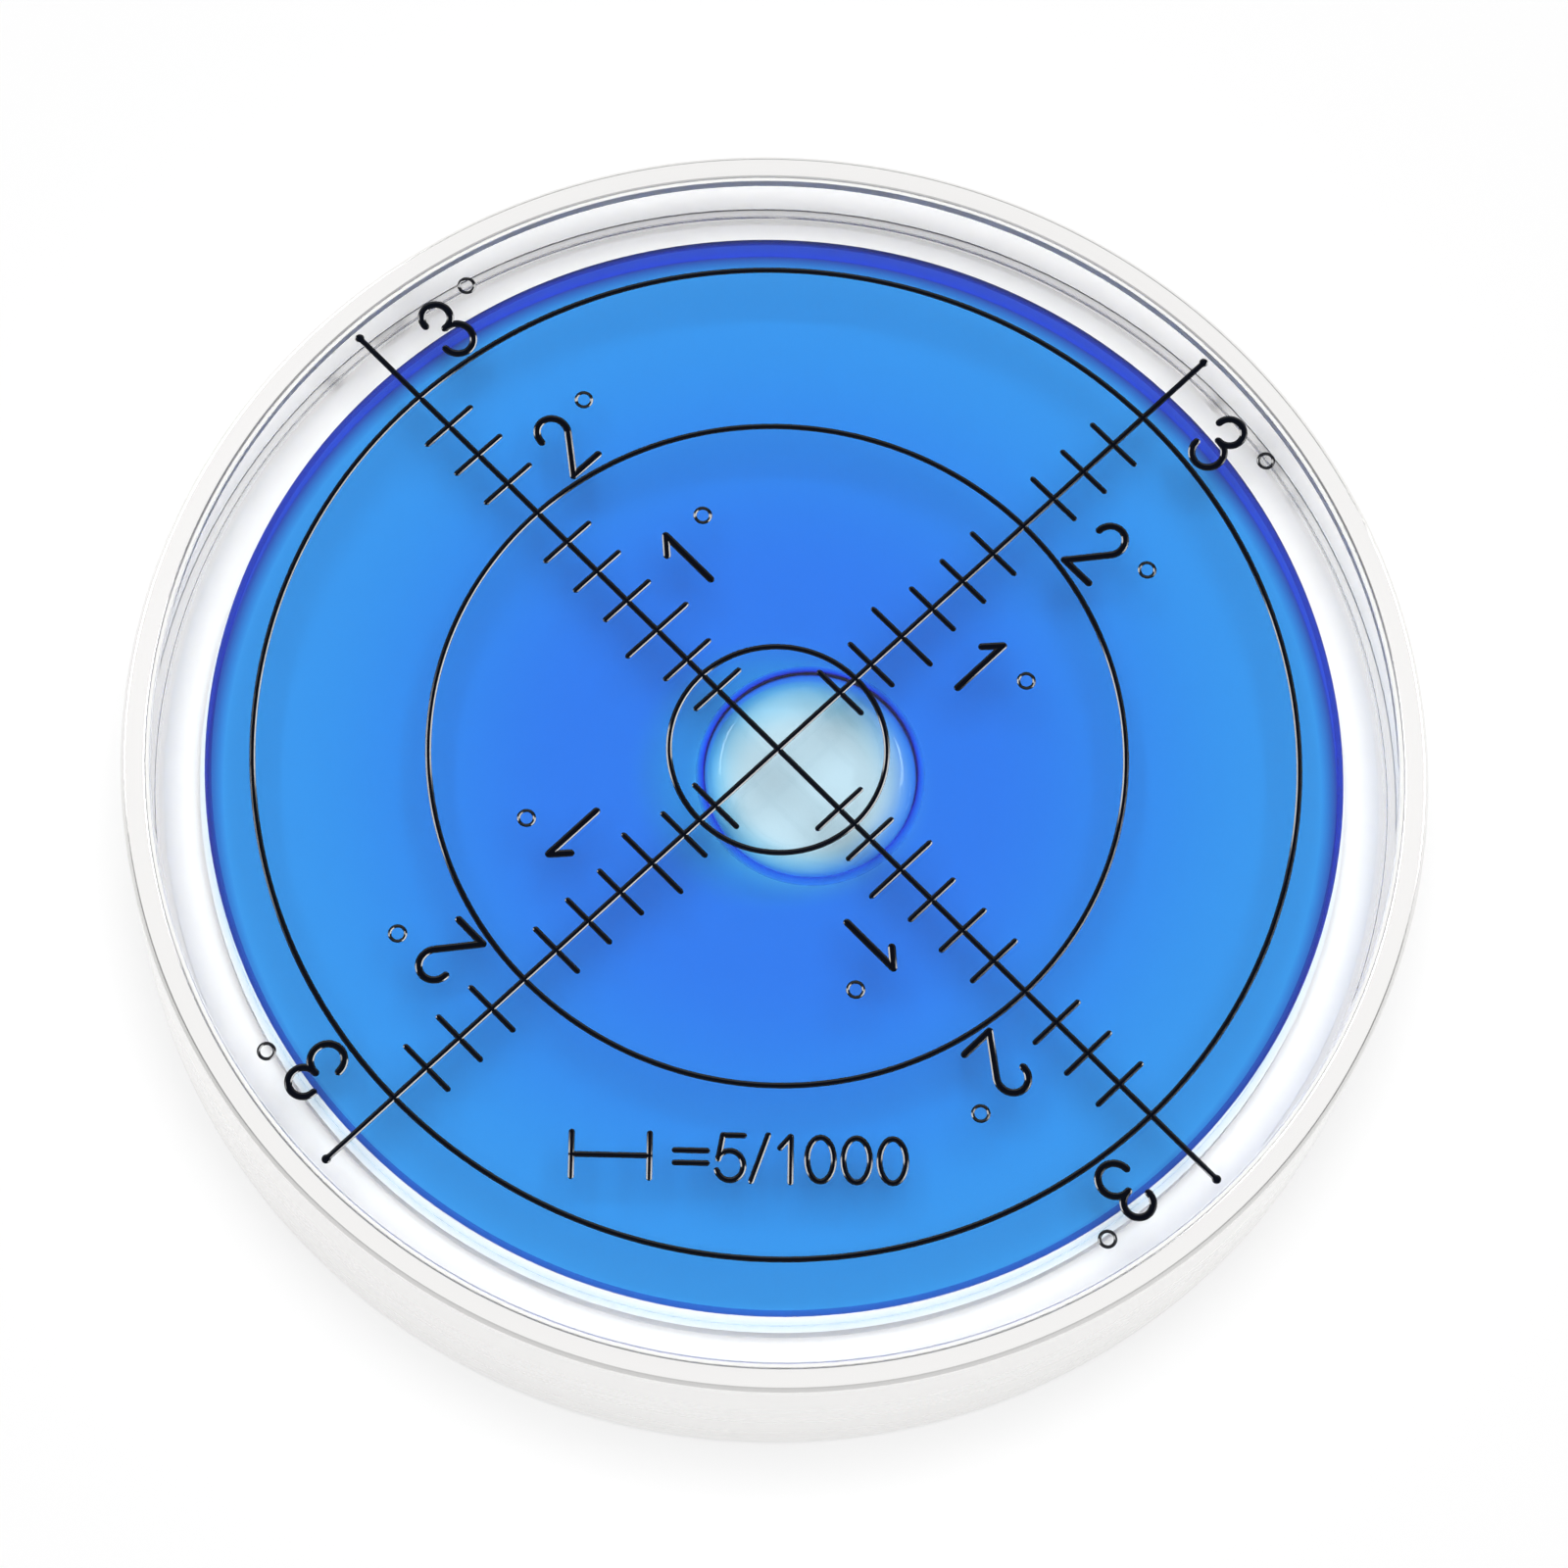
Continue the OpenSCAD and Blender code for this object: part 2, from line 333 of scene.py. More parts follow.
def nickel_plate(add, finishes):
    """Nickel plate on a sintered magnet: warm grey, satin, with the cloudy grain of the sinter under it."""
    place = add("ShaderNodeTexCoord").outputs["Object"]
    grain = add("ShaderNodeTexNoise", {"Vector": place, "Scale": 1 / SINTER_GRAIN, "Detail": 4.0})
    cloud = add("ShaderNodeTexNoise", {"Vector": place, "Scale": 1 / SINTER_CLOUD, "Detail": 3.0})
    bump = add("ShaderNodeBump", {"Height": grain, "Strength": 0.4, "Distance": METAL_RELIEF})
    roughness = add("ShaderNodeMapRange", {"Value": cloud, "To Min": 0.28, "To Max": 0.42})
    shader = add("ShaderNodeBsdfPrincipled", {
        "Base Color": rgba(finishes.nickel), "Metallic": 1.0, "Roughness": roughness, "Normal": bump})
    return {"Surface": shader}


def rays(add, *kinds):
    """1 for these kinds of ray and 0 for all others."""
    path = add("ShaderNodeLightPath").outputs
    total = path[kinds[0]]
    for kind in kinds[1:]:
        total = add("ShaderNodeMath", {0: total, 1: path[kind]}, operation="MAXIMUM")
    return total


def lit_through(add, shader):
    """A clear shader that lets the light of lamps straight through to what lies behind it."""
    clear = add("ShaderNodeBsdfTransparent")
    return add("ShaderNodeMixShader", {0: rays(add, "Is Shadow Ray"), 1: shader, 2: clear})


def bending_glass(add, index, looks):
    """A clear shader that bends light at each face by what that face parts, satin where the tool left it."""
    bending, satin = [add("ShaderNodeAttribute", attribute_name=name).outputs["Fac"]
                      for name in ("bending", "satin")]
    shader = add("ShaderNodeBsdfPrincipled", {
        "Roughness": satin, "IOR": index, "Transmission Weight": 1.0, **looks})
    # The plain index stays on the socket below the link, because the export drops the link
    shader.id_data.links.new(bending, shader.inputs["IOR"])
    return lit_through(add, shader)


def clear_acrylic(add, finishes):
    """Cast acrylic, polished, its bevel satin from the lathe: clear, with painted shade in its chamber's
    wall.
    """
    # Painted shade: the chamber's wall, and a little less the seam above it, are tinted darker and bluer
    painted_shade_share = add("ShaderNodeAttribute", attribute_name="painted_shade_share").outputs["Fac"]
    looks = {"Base Color": tinted(add, painted_shade_share, finishes.stain), "Specular Tint": LENS_SHINE}
    return {"Surface": bending_glass(add, ACRYLIC_INDEX, looks)}


def dyed_spirit(add, finishes):
    """Blue dyed spirit: clear, darker where it is deeper, with a strong edge only where it meets air."""
    dye = add("ShaderNodeVolumeAbsorption", {
        "Color": rgba(finishes.spirit), "Density": finishes.spirit_density})
    return {"Surface": bending_glass(add, SPIRIT_INDEX, {"Base Color": WHITE}), "Volume": dye}


def trapped_air(add):
    """Air: it bends nothing by itself, and the skin of the liquid round it gives the bubble its edge."""
    shader = add("ShaderNodeBsdfPrincipled", {
        "Base Color": WHITE, "Roughness": 0.0, "IOR": 1.0, "Transmission Weight": 1.0})
    return {"Surface": lit_through(add, shader)}


def black_enamel(add, finishes):
    """Black enamel wiped into the engraving: dull in the middle, with glossy lips that catch the light."""
    place = add("ShaderNodeTexCoord").outputs["Object"]
    wipe = add("ShaderNodeTexNoise", {"Vector": place, "Scale": 1 / WIPE_MARK, "Detail": 2.0})
    roughness = add("ShaderNodeMapRange", {"Value": wipe, "To Min": 0.05, "To Max": 0.2})
    lip = add("ShaderNodeAttribute", attribute_name="lip").outputs["Fac"]
    gloss = add("ShaderNodeMapRange", {"Value": lip, "To Min": 0.03, "To Max": 0.75})
    shader = add("ShaderNodeBsdfPrincipled", {
        "Base Color": rgba(finishes.paint), "Roughness": roughness, "Specular IOR Level": gloss})
    return {"Surface": shader}


def mottled_body(add, value, grain, roughness, *tints):
    """The shaders of a pale body that has a faint mottle, under any tints."""
    place = add("ShaderNodeTexCoord").outputs["Object"]
    mottle = add("ShaderNodeTexNoise", {"Vector": place, "Scale": 1 / grain, "Detail": 3.0})
    body = add("ShaderNodeMapRange", {"Value": mottle, "To Min": 0.97, "To Max": 1.0})
    for tint in (tuple(value), *tints):
        body = add("ShaderNodeVectorMath", {0: body, 1: tint}, operation="MULTIPLY")
    bump = add("ShaderNodeBump", {"Height": mottle, "Strength": 0.2, "Distance": MOTTLE_RELIEF})
    shader = add("ShaderNodeBsdfPrincipled", {
        "Base Color": body, "Roughness": roughness, "Specular IOR Level": 0.2, "Normal": bump})
    return {"Surface": shader}


def cured_epoxy(add, finishes):
    """Cured epoxy in a thin film: amber and half glossy, with faint clouds."""
    return mottled_body(add, finishes.epoxy, EPOXY_GRAIN, 0.35)


def white_adhesive(add, finishes):
    """White silicone adhesive, smoothed by hand: matt, with faint clouds."""
    return mottled_body(add, finishes.adhesive, ADHESIVE_GRAIN, 0.6)


def opal_acrylic(add, sizes, finishes):
    """Opal acrylic sheet: white and satin, with painted shade round its middle and along the chamber's wall.
    """
    radius = from_axis(add)[1]
    # Painted shade: the plate is drawn darker and bluer in a broad ring round its middle
    ramps = [add("ShaderNodeMapRange", {"Value": radius, "From Min": none, "From Max": full},
                 interpolation_type="SMOOTHSTEP") for none, full in (SHADE_IN, reversed(SHADE_OUT))]
    painted_middle_share = add("ShaderNodeMath", {0: ramps[0], 1: ramps[1]}, operation="MINIMUM")
    wall = chamber_radius()
    # Painted shade in the corner where the plate meets the chamber's wall
    near = add("ShaderNodeMapRange", {"Value": radius, "From Min": wall - sizes.seep_reach, "From Max": wall})
    within = add("ShaderNodeMath", {0: radius, 1: wall}, operation="LESS_THAN")
    painted_corner_share = add("ShaderNodeMath", {0: near, 1: within}, operation="MULTIPLY")
    tints = tinted(add, painted_middle_share, finishes.opal_shade), tinted(add, painted_corner_share, finishes.seep)
    return mottled_body(add, finishes.opal, OPAL_GRAIN, 0.4, *tints)


# Meshes

def arc(centre, radii, start, end):
    """Points of an arc about centre, with its two radii, from angle start to end in degrees."""
    steps = max(2, round(abs(math.radians(end - start)) / ARC_STEP))
    angles = [math.radians(start + (end - start) * i / steps) for i in range(steps + 1)]
    return [(centre[0] + radii[0] * math.cos(a), centre[1] + radii[1] * math.sin(a)) for a in angles]


def circle(centre, radius, sides):
    """Points of a closed circle."""
    angles = [2 * math.pi * i / sides for i in range(sides)]
    return [(centre[0] + radius * math.cos(a), centre[1] + radius * math.sin(a)) for a in angles]


def new_piece(name, mesh, material=None):
    """A finished object at the origin, with its place in its mesh."""
    piece = bpy.data.objects.new(name, mesh)
    bpy.context.scene.collection.objects.link(piece)
    mesh.materials.clear()
    if material:
        mesh.materials.append(material)
    return piece


def plain_mesh(piece):
    """The mesh that a piece's modifiers give."""
    return bpy.data.meshes.new_from_object(piece.evaluated_get(bpy.context.evaluated_depsgraph_get()))


def shade(mesh):
    """Smooth shading that breaks at the crisp edges."""
    mesh.shade_smooth()
    mesh.set_sharp_from_angle(angle=CRISP_ANGLE)


def set_faces(mesh, name, values):
    """Stores one number for each face."""
    mesh.attributes.new(name, "FLOAT", "FACE").data.foreach_set("value", values)


def turned_mesh(name, profile, sides=TURNED_SIDES):
    """Turns a profile of (radius, height) points, from axis to axis or closed, with the body on its left."""
    points, rings, faces = [], [], []
    for radius, height in profile:
        ring = [(0, 0)] if radius < TINY else circle((0, 0), radius, sides)
        rings.append(list(range(len(points), len(points) + len(ring))))
        points += [(x, y, height) for x, y in ring]
    for k in range(len(rings) - 1):
        low, high = rings[k], rings[k + 1]
        flat = abs(profile[k][1] - profile[k + 1][1]) < TINY
        if flat and len(low) == 1:
            faces.append(high[::-1])
        elif flat and len(high) == 1:
            faces.append(low)
        else:
            for i in range(sides):
                j = (i + 1) % sides
                corners = [low[i % len(low)], low[j % len(low)], high[j % len(high)], high[i % len(high)]]
                faces.append(list(dict.fromkeys(corners)))
    used = sorted({i for face in faces for i in face})
    place = {old: new for new, old in enumerate(used)}
    mesh = bpy.data.meshes.new(name)
    mesh.from_pydata([points[i] for i in used], [], [[place[i] for i in face] for face in faces])
    mesh.validate()
    return mesh


def disc(name, radius, low, high):
    """A plain round disc between two heights."""
    return turned_mesh(name, [(0, low), (radius, low), (radius, high), (0, high)])


def rounded(profile, reach):
    """Rounds the corners of a profile off, over a third of the flats beside them at most, which stay flat."""
    result = [profile[0]]
    shares = [i / ROUND_STEPS for i in range(ROUND_STEPS + 1)]
    for before, corner, after in zip(profile, profile[1:], profile[2:]):
        here = Vector(corner)
        back = Vector(before) - here
        on = Vector(after) - here
        start = back.normalized() * min(reach, back.length / 3)
        end = on.normalized() * min(reach, on.length / 3)
        turn = [here + start * (1 - t) ** 2 + end * t ** 2 for t in shares]
        result += [tuple(point) for point in (here + start * ROUND_LEAD, *turn, here + end * ROUND_LEAD)]
    return result + [profile[-1]]


def join_meshes(name, meshes):
    """One mesh of several."""
    shape = bmesh.new()
    for mesh in meshes:
        shape.from_mesh(mesh)
    mesh = bpy.data.meshes.new(name)
    shape.to_mesh(mesh)
    shape.free()
    return mesh


def carved(name, mesh, steps):
    """What is left of a mesh after each (operation, mesh) step."""
    block = new_piece(name, mesh)
    tools = []
    for operation, tool_mesh in steps:
        tools.append(new_piece("tool", tool_mesh))
        cut = block.modifiers.new("cut", "BOOLEAN")
        cut.operation = operation
        cut.object = tools[-1]
        cut.solver = "MANIFOLD"
    result = plain_mesh(block)
    for piece in (block, *tools):
        bpy.data.objects.remove(piece)
    if not result.polygons:
        raise RuntimeError(f"nothing is left of {name}")
    result.name = name
    shade(result)
    return result


# The engraving tool: paths in the plane of the face, swept by a turning V-shaped tip

def path_mesh(name, strokes, half, height):
    """Tool paths as edges. An open stroke (points, False) ends in a half round of the tip."""
    points, edges, scales = [], [], []
    for stroke, closed in strokes:
        run = [Vector(p) for p in stroke]
        share = [1.0] * len(run)
        if not closed:
            head = (run[0] - run[1]).normalized() * half
            tail = (run[-1] - run[-2]).normalized() * half
            ends = [math.cos(a) for a in TIP_TURNS]
            lead = [run[0] + head * math.sin(a) for a in TIP_TURNS]
            follow = [run[-1] + tail * math.sin(a) for a in reversed(TIP_TURNS)]
            share = ends + share + ends[::-1]
            run = lead + run + follow
        start = len(points)
        points += [(p.x, p.y, height) for p in run]
        edges += [(start + i, start + i + 1) for i in range(len(run) - 1)]
        if closed:
            edges.append((start + len(run) - 1, start))
        scales += share
    mesh = bpy.data.meshes.new(name)
    mesh.from_pydata(points, edges, [])
    mesh.attributes.new("tip_scale", "FLOAT", "POINT").data.foreach_set("value", scales)
    return mesh


def new_tree(name, inputs):
    """An empty geometry tree with named inputs, add_node for it and the sockets of its group input."""
    tree = bpy.data.node_groups.new(name, "GeometryNodeTree")
    for label, kind in {"Geometry": "NodeSocketGeometry", **inputs}.items():
        tree.interface.new_socket(label, in_out="INPUT", socket_type=kind)
    tree.interface.new_socket("Geometry", in_out="OUTPUT", socket_type="NodeSocketGeometry")
    add = partial(add_node, tree)
    return tree, add, add("NodeGroupInput").outputs


TOOL_INPUTS = {"Half Width": "NodeSocketFloat", "Depth": "NodeSocketFloat", "Lift": "NodeSocketFloat",
               "Material": "NodeSocketMaterial"}


def engraver_tree():
    """Sweeps the V-shaped tip of the tool along each path."""
    tree, add, given = new_tree("Engraver", TOOL_INPUTS)
    lift = add("ShaderNodeCombineXYZ", {"Z": given["Lift"]})
    raised = add("GeometryNodeSetPosition", {"Geometry": given["Geometry"], "Offset": lift})
    path = add("GeometryNodeMeshToCurve", {"Mesh": raised})
    width = add("ShaderNodeMath", {0: given["Half Width"], 1: 2.0}, operation="MULTIPLY")
    tip = add("GeometryNodeCurvePrimitiveQuadrilateral", {
        "Width": width, "Bottom Height": given["Depth"], "Top Height": given["Depth"]}, mode="KITE")
    scale = add("GeometryNodeInputNamedAttribute", {"Name": "tip_scale"}, data_type="FLOAT")
    bar = add("GeometryNodeCurveToMesh", {
        "Curve": path, "Profile Curve": tip, "Scale": scale, "Fill Caps": True})
    real = add("GeometryNodeRealizeInstances", {"Geometry": bar})
    made = add("GeometryNodeSetMaterial", {"Geometry": real, "Material": given["Material"]})
    add("NodeGroupOutput", {"Geometry": made})
    return tree


def engrave_arms(add, given, shape, engraver):
    """Ends a tree with a shape of the first arm repeated on all arms of the cross and engraved there."""
    hub = add("GeometryNodePoints", {"Count": ARMS})
    index = add("GeometryNodeInputIndex")
    angle = add("ShaderNodeMath", {0: index, 1: 2 * math.pi / ARMS, 2: FIRST_ARM}, operation="MULTIPLY_ADD")
    euler = add("ShaderNodeCombineXYZ", {"Z": angle})
    turned = add("FunctionNodeEulerToRotation", {"Euler": euler})
    arms = add("GeometryNodeInstanceOnPoints", {"Points": hub, "Instance": shape, "Rotation": turned})
    paths = add("GeometryNodeRealizeInstances", {"Geometry": arms})
    passed = {label: given[label] for label in TOOL_INPUTS}
    sweep = add("GeometryNodeGroup", {"Geometry": paths, **passed}, node_tree=engraver)
    add("NodeGroupOutput", {"Geometry": sweep})


def arms_tree(engraver):
    """Engraves what lies beside the first arm beside all four."""
    tree, add, given = new_tree("Engraver on four arms", TOOL_INPUTS)
    engrave_arms(add, given, given["Geometry"], engraver)
    return tree


def ticks_tree(engraver):
    """Engraves one tick at each division of the four arms, apart from the division that has a ring."""
    tree, add, given = new_tree("Division ticks", {
        "Division": "NodeSocketFloat", "First Tick": "NodeSocketInt", "Tick Count": "NodeSocketInt",
        "Ring Tick": "NodeSocketInt", "Long Tick": "NodeSocketInt", "Long Share": "NodeSocketFloat",
        **TOOL_INPUTS})
    begin = add("ShaderNodeMath", {0: given["First Tick"], 1: given["Division"]}, operation="MULTIPLY")
    start = add("ShaderNodeCombineXYZ", {"X": begin})
    step = add("ShaderNodeCombineXYZ", {"X": given["Division"]})
    places = add("GeometryNodeMeshLine", {
        "Count": given["Tick Count"], "Start Location": start, "Offset": step})
    index = add("GeometryNodeInputIndex")
    number = add("ShaderNodeMath", {0: index, 1: given["First Tick"]}, operation="ADD")
    # Whole numbers are the same when they differ by less than a tenth
    on_ring, is_long = [add("ShaderNodeMath", {0: number, 1: given[label], 2: 0.1}, operation="COMPARE")
                        for label in ("Ring Tick", "Long Tick")]
    off_ring = add("ShaderNodeMath", {0: 1.0, 1: on_ring}, operation="SUBTRACT")
    longer = add("ShaderNodeMath", {0: is_long, 1: given["Long Share"], 2: 1.0}, operation="MULTIPLY_ADD")
    scale = add("ShaderNodeCombineXYZ", {"X": 1.0, "Y": longer, "Z": 1.0})
    ticks = add("GeometryNodeInstanceOnPoints", {
        "Points": places, "Selection": off_ring, "Instance": given["Geometry"], "Scale": scale})
    arm = add("GeometryNodeRealizeInstances", {"Geometry": ticks})
    engrave_arms(add, given, arm, engraver)
    return tree


def run_tree(tree, mesh, **inputs):
    """The plain mesh that a geometry tree makes of a mesh, with its inputs set by their identifiers."""
    holder = new_piece("tool_path", mesh.copy())
    modifier = holder.modifiers.new(tree.name, "NODES")
    for item in tree.interface.items_tree:
        key = item.name.lower().replace(" ", "_")
        if item.in_out == "INPUT" and key in inputs:
            modifier[item.identifier] = inputs[key]
    modifier.node_group = tree
    result = plain_mesh(holder)
    bpy.data.objects.remove(holder)
    return result


# The scale: which strokes the tool engraves

# Single-stroke figures in a box of 1 by 1, as (layer, points, closed). Strokes that meet differ in layer.
FIGURES = {
    "0": [(0, [(0.5 + 0.45 * x, 0.5 + 0.5 * y) for x, y in circle((0, 0), 1, 24)], True)],
    "1": [(0, [(0.26, 0.74), (0.67, 1.0)], False), (1, [(0.68, 1.0), (0.68, -0.03)], False)],
    "2": [(0, arc((0.5, 0.77), (0.45, 0.26), 180, -35) + [(0.0, 0.0)], False),
          (1, [(0.0, 0.0), (1.02, 0.0)], False)],
    "3": [(0, arc((0.53, 0.77), (0.43, 0.235), 180, -95), False),
          (1, arc((0.53, 0.265), (0.48, 0.27), 95, -180), False)],
    "5": [(0, [(0.22, 1.0), (0.92, 1.0)], False), (1, [(0.22, 1.0), (0.08, 0.46)], False),
          (0, arc((0.46, 0.32), (0.46, 0.33), 148, -160), False)],
    "/": [(0, [(0.05, -0.02), (0.95, 1.02)], False)],
    "=": [(0, [(0.0, y), (1.0, y)], False) for y in (0.36, 0.64)],
    # One division: two ticks and the length between them
    "division": [(0, [(0.0, 0.0), (0.0, 1.0)], False), (0, [(1.0, 0.0), (1.0, 1.0)], False),
                 (1, [(0.0, 0.5), (1.0, 0.5)], False)],
}

# The legend: each figure with its width and the space after it, as shares of the height
LEGEND = [("division", 1.7, 0.55), ("=", 0.7, 0.2), ("5", 0.65, 0.1), ("/", 0.4, 0.1), ("1", 0.55, 0.15),
          *[("0", 0.65, 0.14)] * 3]


def figure_strokes(figure, layer, place):
    """The strokes of a figure in one layer, with each point moved by place."""
    return [([place(x, y) for x, y in points], closed)
            for own_layer, points, closed in FIGURES[figure] if own_layer == layer]


def degree_radii(sizes):
    """The distance from the centre to each whole degree."""
    return [i * sizes.degree_divisions * sizes.division for i in range(1, sizes.degrees + 1)]


def number_strokes(sizes, layer):
    """The strokes of the numbers beside the first arm, upright along it and on its clockwise side."""
    strokes = []
    for number, radius in enumerate(degree_radii(sizes), 1):
        strokes += figure_strokes(str(number), layer, lambda x, y: (
            radius + sizes.number_rise + y * sizes.number_h, -sizes.number_gap - x * sizes.number_w))
    return strokes


def degree_strokes(sizes):
    """The small rings of the degree signs beside the first arm."""
    places = [(radius + sizes.degree_rise, -sizes.degree_offset) for radius in degree_radii(sizes)]
    return [(circle(place, sizes.degree_d / 2, SIGN_SIDES), True) for place in places]


def legend_strokes(sizes, layer):
    """The strokes of the legend, which says what one division stands for."""
    strokes, start, height = [], sizes.legend_x, sizes.legend_h
    for figure, width, space in LEGEND:
        strokes += figure_strokes(figure, layer, lambda x, y: (
            start + x * width * height, -sizes.legend_y + y * height))
        start += (width + space) * height
    return strokes


def ready(store, name, make, *given):
    """What the file already holds under a name, or a new one."""
    return store.get(name) or make(*given)


def arm_length():
    """Distance from the centre to the end dots, which the box of the cross lines gives."""
    return (outer_radius("cross_lines") - CAD_DOT / 2) * math.sqrt(2)


def scale_tools(sizes, finishes):
    """Each group of strokes by name: half its width, and what the tool cuts by (half width, depth)."""
    groups = bpy.data.node_groups
    engraver = ready(groups, "Engraver", engraver_tree)
    arms = ready(groups, "Engraver on four arms", arms_tree, engraver)
    ticks = ready(groups, "Division ticks", ticks_tree, engraver)
    paint = ready(bpy.data.materials, "black_enamel", made_of, black_enamel, finishes)
    face = top("vial_lens")
    reach = arm_length()
    tick = (sizes.tick_short - sizes.groove_w) / 2
    tick_count = sizes.degrees * sizes.degree_divisions - sizes.first_tick

    def group(tree, strokes, width=sizes.groove_w, **inputs):
        path = path_mesh("tool_path", strokes, width / 2, face)
        return width / 2, lambda half, depth: run_tree(
            tree, path, half_width=half, depth=depth, lift=CONTACT, material=paint, **inputs)

    def ring(radius):
        return group(engraver, [(circle((0, 0), radius, TURNED_SIDES), True)])

    def cross_line(direction):
        end = Vector((math.cos(direction), math.sin(direction))) * reach
        return group(engraver, [([-end, end], False)])

    return {
        "cross_1": cross_line(FIRST_ARM),
        "cross_2": cross_line(3 * FIRST_ARM),
        "dots": group(arms, [([(reach - CONTACT, 0), (reach + CONTACT, 0)], False)], sizes.dot_d),
        "bubble_ring": ring(outer_radius("bubble_ring") - CAD_LINE / 2),
        "two_degree_ring": ring(degree_radii(sizes)[1]),
        "three_degree_ring": ring(degree_radii(sizes)[2]),
        "ticks": group(ticks, [([(0, -tick), (0, tick)], False)], division=sizes.division,
                       first_tick=sizes.first_tick, tick_count=tick_count,
                       ring_tick=2 * sizes.degree_divisions, long_tick=sizes.degree_divisions,
                       long_share=sizes.tick_long / sizes.tick_short - 1),
        "numbers_0": group(arms, number_strokes(sizes, 0), sizes.number_line),
        "numbers_1": group(arms, number_strokes(sizes, 1), sizes.number_line),
        "degrees": group(arms, degree_strokes(sizes), sizes.degree_w),
        "legend_0": group(engraver, legend_strokes(sizes, 0)),
        "legend_1": group(engraver, legend_strokes(sizes, 1)),
    }


def groove(sizes, tool, grow=0.0):
    """The mesh of a group's grooves, or of a little more than them."""
    half, cut = tool
    return cut(half + grow, sizes.groove_depth + grow)


def face_slab(low, high):
    """A disc as wide as the lens, between two depths below its face."""
    face = top("vial_lens")
    return disc("slab", outer_radius("vial_lens"), face - low, face - high)


def hollow(sizes, tool):
    """What the paint of a group leaves open, between its sloped lips and above its flat middle."""
    half = tool[0] - sizes.paint_film
    wedge = tool[1](half, sizes.paint_slope * 2 * half / sizes.groove_w)
    return carved("hollow", wedge, [("INTERSECT", face_slab(sizes.paint_floor, -sizes.groove_w))])


def paint_lines(context, piece_name, groups, crossed=(), hollows=(), node=None):
    """The paint in some groups of grooves, less the grooves cut across it, with its skin hollowed."""
    sizes, finishes = settings(context)
    tools = scale_tools(sizes, finishes)
    steps = [("UNION", groove(sizes, tools[name], CONTACT)) for name in groups[1:]]
    steps.append(("INTERSECT", face_slab(sizes.groove_w, CONTACT)))
    steps += [("DIFFERENCE", groove(sizes, tools[name])) for name in crossed]
    steps += [("DIFFERENCE", hollow(sizes, tools[name])) for name in (*groups, *hollows)]
    mesh = carved(piece_name, groove(sizes, tools[groups[0]], CONTACT), steps)
    set_faces(mesh, "lip", [1.0 if polygon.normal.z < LIP_SLOPE else 0.0 for polygon in mesh.polygons])
    piece = new_piece(piece_name, mesh, bpy.data.materials["black_enamel"])
    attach(piece, "level_case")
    if node:
        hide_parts(node)


# The vial

def dome_centre():
    """Height of the centre of the sphere that the bubble rolls under."""
    joints = frame["record"]["behaviour"]["joints"]
    return next(joint["pos_m"][2] for joint in joints if joint["name"] == "bubble_travel")


def dome_radius():
    """Radius of the hollow under-face of the lens."""
    return top("bubble") + BUBBLE_FILM - dome_centre()


def chamber_radius():
    """Radius of the round chamber that the liquid fills."""
    return outer_radius("liquid") + LIQUID_GAP


def dome_profile(ball, edge):
    """The round under-face from the axis out to edge, on a ball about the dome's centre."""
    radii = [edge * i / DOME_STEPS for i in range(DOME_STEPS + 1)]
    return [(r, dome_centre() + math.sqrt(ball ** 2 - r ** 2)) for r in radii]


def bubble_mesh(sizes, name, grow):
    """The bubble, grown a little: a flat crown under the lens, a round shoulder and a full belly."""
    low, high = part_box("bubble")
    middle = (low + high) / 2
    half = (high.y - low.y) / 2 + grow
    ball = dome_radius() - BUBBLE_FILM + grow
    crown = half - sizes.bubble_shoulder
    waist = ball - sizes.bubble_waist
    base = ball - (sizes.bubble_depth + 2 * grow)
    belly = rounded([(0, base), (sizes.bubble_flat, base), (half, waist - sizes.bubble_side), (half, waist)],
                    sizes.bubble_side)
    rise = math.sqrt(ball ** 2 - crown ** 2) - waist
    turns = [math.radians(90 * i / SHOULDER_STEPS) for i in range(SHOULDER_STEPS + 1)]
    shoulder = [(crown + sizes.bubble_shoulder * math.sin(a), waist + rise * math.cos(a)) for a in turns]
    radii = [crown * i / CROWN_STEPS for i in range(CROWN_STEPS)]
    roof = [(r, math.sqrt(ball ** 2 - r ** 2)) for r in radii]
    mesh = turned_mesh(name, belly + shoulder[-2::-1] + roof[::-1], BUBBLE_SIDES)
    mesh.shade_smooth()
    lean = Vector((0, 0, 1)).rotation_difference(Vector((middle.x, middle.y, ball)))
    mesh.transform(Matrix.Translation((0, 0, dome_centre())) @ lean.to_matrix().to_4x4())
    return mesh


